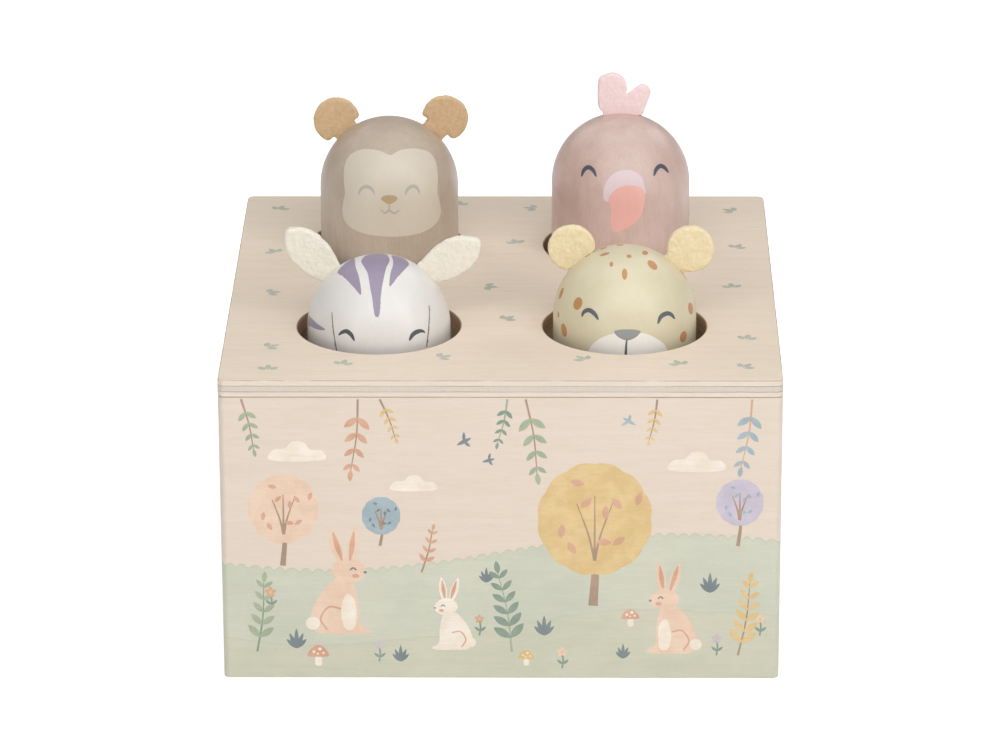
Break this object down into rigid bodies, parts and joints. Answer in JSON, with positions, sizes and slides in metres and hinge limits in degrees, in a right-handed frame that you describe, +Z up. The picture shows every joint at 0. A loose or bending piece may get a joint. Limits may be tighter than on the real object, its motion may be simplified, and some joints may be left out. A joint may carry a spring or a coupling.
{
  "type": "pop up toy",
  "caption": "Square plywood box with round holes in its lid, in each a painted wooden animal peg on a coil spring that can be pressed down and turned; felt ears and crest.",
  "frame": {"origin": "middle of the box's underside, on the surface that the toy stands on", "axes": "+Z up along the pegs' travel, -Y out of the printed front that the faces look towards, +X to the viewer's right"},
  "size_m": [0.155, 0.155, 0.1403],
  "materials": {
    "lid_ply": "pale birch plywood, clear matt lacquer",
    "printed_ply": "pale plywood with a printed matt picture",
    "base_ply": "bare birch plywood",
    "bare_wood": "bare turned or planed softwood",
    "spring_steel": "plain drawn steel wire",
    "screw_steel": "zinc-plated steel",
    "zebra_paint": "off-white satin paint with purple-grey stripes",
    "leopard_paint": "pale yellow-green satin paint with ochre spots",
    "monkey_paint": "taupe satin paint with a cream face",
    "flamingo_paint": "dusty pink satin paint with a coral beak",
    "cream_felt": "thick wool felt",
    "yellow_felt": "thick wool felt",
    "camel_felt": "thick wool felt",
    "pink_felt": "thick wool felt"
  },
  "bodies": {
    "box": {"lid_panel": "lid_ply", "front_panel": "printed_ply", "back_panel": "printed_ply", "left_panel": "printed_ply", "right_panel": "printed_ply", "base_panel": "base_ply", "corner_block_front_left": "bare_wood", "corner_block_front_right": "bare_wood", "corner_block_back_left": "bare_wood", "corner_block_back_right": "bare_wood", "base_screws": "screw_steel", "post_screws": "screw_steel", "zebra_post": "bare_wood", "leopard_post": "bare_wood", "monkey_post": "bare_wood", "flamingo_post": "bare_wood"},
    "zebra_spring": {"zebra_spring": "spring_steel"},
    "zebra_peg": {"zebra_peg": "zebra_paint", "zebra_stop_disc": "base_ply", "zebra_boss": "bare_wood", "zebra_peg_screw": "screw_steel", "zebra_ear_left": "cream_felt", "zebra_ear_right": "cream_felt"},
    "leopard_spring": {"leopard_spring": "spring_steel"},
    "leopard_peg": {"leopard_peg": "leopard_paint", "leopard_stop_disc": "base_ply", "leopard_boss": "bare_wood", "leopard_peg_screw": "screw_steel", "leopard_ear_left": "yellow_felt", "leopard_ear_right": "yellow_felt"},
    "monkey_spring": {"monkey_spring": "spring_steel"},
    "monkey_peg": {"monkey_peg": "monkey_paint", "monkey_stop_disc": "base_ply", "monkey_boss": "bare_wood", "monkey_peg_screw": "screw_steel", "monkey_ear_left": "camel_felt", "monkey_ear_right": "camel_felt"},
    "flamingo_spring": {"flamingo_spring": "spring_steel"},
    "flamingo_peg": {"flamingo_peg": "flamingo_paint", "flamingo_stop_disc": "base_ply", "flamingo_boss": "bare_wood", "flamingo_peg_screw": "screw_steel", "flamingo_crest": "pink_felt"}
  },
  "joints": [
    {"name": "zebra_press", "type": "slide", "parent": "box", "child": "zebra_spring", "axis": [0, 0, 1], "range_m": [-0.0124, 0.0218], "stiffness_N_per_m": 176, "springref_m": 0.00228, "deforming": ["zebra_spring"]},
    {"name": "zebra_turn", "type": "hinge", "parent": "zebra_spring", "child": "zebra_peg", "pos_m": [-0.0345, -0.034, 0.05], "axis": [0, 0, 1], "continuous": true},
    {"name": "leopard_press", "type": "slide", "parent": "box", "child": "leopard_spring", "axis": [0, 0, 1], "range_m": [-0.0147, 0.0188], "stiffness_N_per_m": 176, "springref_m": 0.00228, "deforming": ["leopard_spring"]},
    {"name": "leopard_turn", "type": "hinge", "parent": "leopard_spring", "child": "leopard_peg", "pos_m": [0.0345, -0.034, 0.05], "axis": [0, 0, 1], "continuous": true},
    {"name": "monkey_press", "type": "slide", "parent": "box", "child": "monkey_spring", "axis": [0, 0, 1], "range_m": [-0.0323, 0.0033], "stiffness_N_per_m": 176, "springref_m": 0.00228, "deforming": ["monkey_spring"]},
    {"name": "monkey_turn", "type": "hinge", "parent": "monkey_spring", "child": "monkey_peg", "pos_m": [-0.0335, 0.034, 0.05], "axis": [0, 0, 1], "continuous": true},
    {"name": "flamingo_press", "type": "slide", "parent": "box", "child": "flamingo_spring", "axis": [0, 0, 1], "range_m": [-0.0395, 0.0023], "stiffness_N_per_m": 176, "springref_m": 0.00228, "deforming": ["flamingo_spring"]},
    {"name": "flamingo_turn", "type": "hinge", "parent": "flamingo_spring", "child": "flamingo_peg", "pos_m": [0.034, 0.034, 0.05], "axis": [0, 0, 1], "continuous": true}
  ]
}
